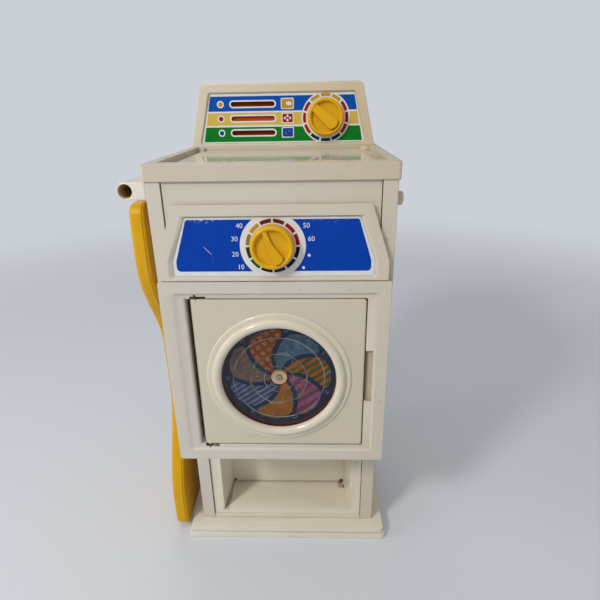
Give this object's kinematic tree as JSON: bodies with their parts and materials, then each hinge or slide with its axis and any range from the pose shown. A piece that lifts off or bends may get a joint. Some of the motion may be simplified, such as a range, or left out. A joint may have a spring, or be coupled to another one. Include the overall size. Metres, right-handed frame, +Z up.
{
  "type": "toy washing machine",
  "caption": "Child's play washer and dryer: cream cabinet with lidded tub, leaning console, timer dial, round-windowed door, open lower bin and a yellow side board.",
  "frame": {"origin": "centre of the base's underside, on the floor", "axes": "+Z up, front faces -Y, +X to the viewer's right when facing the front"},
  "size_m": [0.2989, 0.263, 0.5985],
  "materials": {
    "cream_plastic": "aged ivory moulded plastic, semi gloss, scuffed",
    "door_plastic": "slightly yellower ivory moulded plastic, semi gloss",
    "blue_label": "printed label, scratched",
    "striped_label": "printed label with coloured bands",
    "knob_yellow": "golden yellow moulded plastic",
    "board_yellow": "golden yellow blow-moulded plastic, satin",
    "maroon_plastic": "dark red moulded plastic",
    "band_red": "orange red moulded plastic",
    "picture_print": "printed disc, navy ground",
    "hub_tan": "tan moulded plastic",
    "clear_pane": "clear moulded plastic",
    "steel": "zinc plated"
  },
  "bodies": {
    "root": {"base_plinth": "cream_plastic", "side_panel_left": "cream_plastic", "side_panel_right": "cream_plastic", "lower_bin": "cream_plastic", "belly_pan": "cream_plastic", "back_cover": "cream_plastic", "cover_screws": "steel", "base_screws": "steel", "door_frame": "cream_plastic", "dryer_bin": "cream_plastic", "control_panel": "cream_plastic", "timer_label": "blue_label", "detent_spring": "cream_plastic", "top_tray": "cream_plastic", "wash_tub": "cream_plastic", "tub_screws": "steel", "console_shell": "cream_plastic", "console_back": "cream_plastic", "console_label": "striped_label", "slot_backing": "maroon_plastic", "guide_rods": "steel", "hinge_rail": "cream_plastic", "board_pin": "steel", "side_peg": "cream_plastic"},
    "door": {"door_panel": "door_plastic", "door_back": "door_plastic", "window_rim": "door_plastic", "window_pane": "clear_pane", "drum_cup": "maroon_plastic", "hub_screw": "steel"},
    "picture": {"picture_disc": "picture_print", "disc_hub": "hub_tan"},
    "lid": {"lid": "door_plastic"},
    "board": {"board_shell": "board_yellow", "board_cover": "board_yellow", "board_knuckle": "board_yellow"},
    "cycle_dial": {"cycle_knob": "knob_yellow", "cycle_pinion": "knob_yellow"},
    "band": {"band_slide": "band_red"},
    "timer_dial": {"timer_knob": "knob_yellow", "timer_wheel": "knob_yellow"}
  },
  "joints": [
    {"name": "door_hinge", "type": "hinge", "parent": "root", "child": "door", "pos_m": [-0.0834, -0.1417, 0.2922], "axis": [0, 0, -1], "range_deg": [0, 105]},
    {"name": "picture_spin", "type": "hinge", "parent": "door", "child": "picture", "pos_m": [0.00125, -0.1343, 0.2887], "axis": [0, -1, 0], "continuous": true},
    {"name": "lid_hinge", "type": "hinge", "parent": "root", "child": "lid", "pos_m": [-0.00125, 0.0549, 0.5154], "axis": [-1, 0, 0], "range_deg": [0, 65]},
    {"name": "board_hinge", "type": "hinge", "parent": "root", "child": "board", "pos_m": [-0.1419, -0.0175, 0.4955], "axis": [0, 1, 0], "range_deg": [0, 90]},
    {"name": "cycle_turn", "type": "hinge", "parent": "root", "child": "cycle_dial", "pos_m": [0.0565, 0.06356, 0.55547], "axis": [0, -0.9962, 0.0872], "range_deg": [-90, 90]},
    {"name": "band_travel", "type": "slide", "parent": "root", "child": "band", "axis": [0, 0.0872, 0.9962], "range_m": [-0.01765, 0.01765]},
    {"name": "timer_turn", "type": "hinge", "parent": "root", "child": "timer_dial", "pos_m": [0, -0.14371, 0.44129], "axis": [0, -0.9969, 0.0787], "continuous": true}
  ],
  "couplings": [
    {"joint": "band_travel", "follows": "cycle_turn", "m_per_rad": -0.011236}
  ]
}
